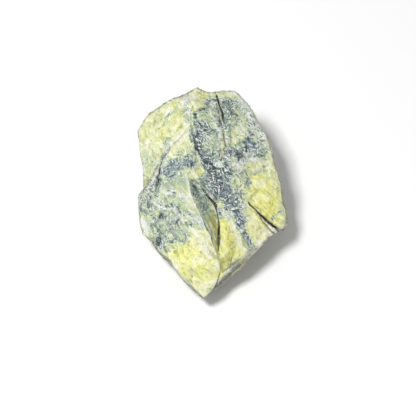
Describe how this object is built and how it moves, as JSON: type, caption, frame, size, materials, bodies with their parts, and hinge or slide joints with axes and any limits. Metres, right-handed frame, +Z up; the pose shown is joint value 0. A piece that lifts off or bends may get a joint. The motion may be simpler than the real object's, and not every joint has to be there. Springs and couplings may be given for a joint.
{
  "type": "serpentine rock",
  "caption": "Rough broken lump of serpentine with a raised crest, a shadowed cleft, open cracks and a flaked rim.",
  "frame": {"origin": "on the surface it rests on, under the middle of the lump's bounding box", "axes": "+Z up; +Y along the longest way of the lump, towards its high end; +X across it, to the right as the broad face is looked at from -Y"},
  "size_m": [0.0458, 0.0636, 0.0267],
  "materials": {
    "serpentine": "broken, waxy, mottled yellow-green and blue-grey"
  },
  "bodies": {
    "root": {"serpentine_rock": "serpentine"}
  },
  "joints": []
}
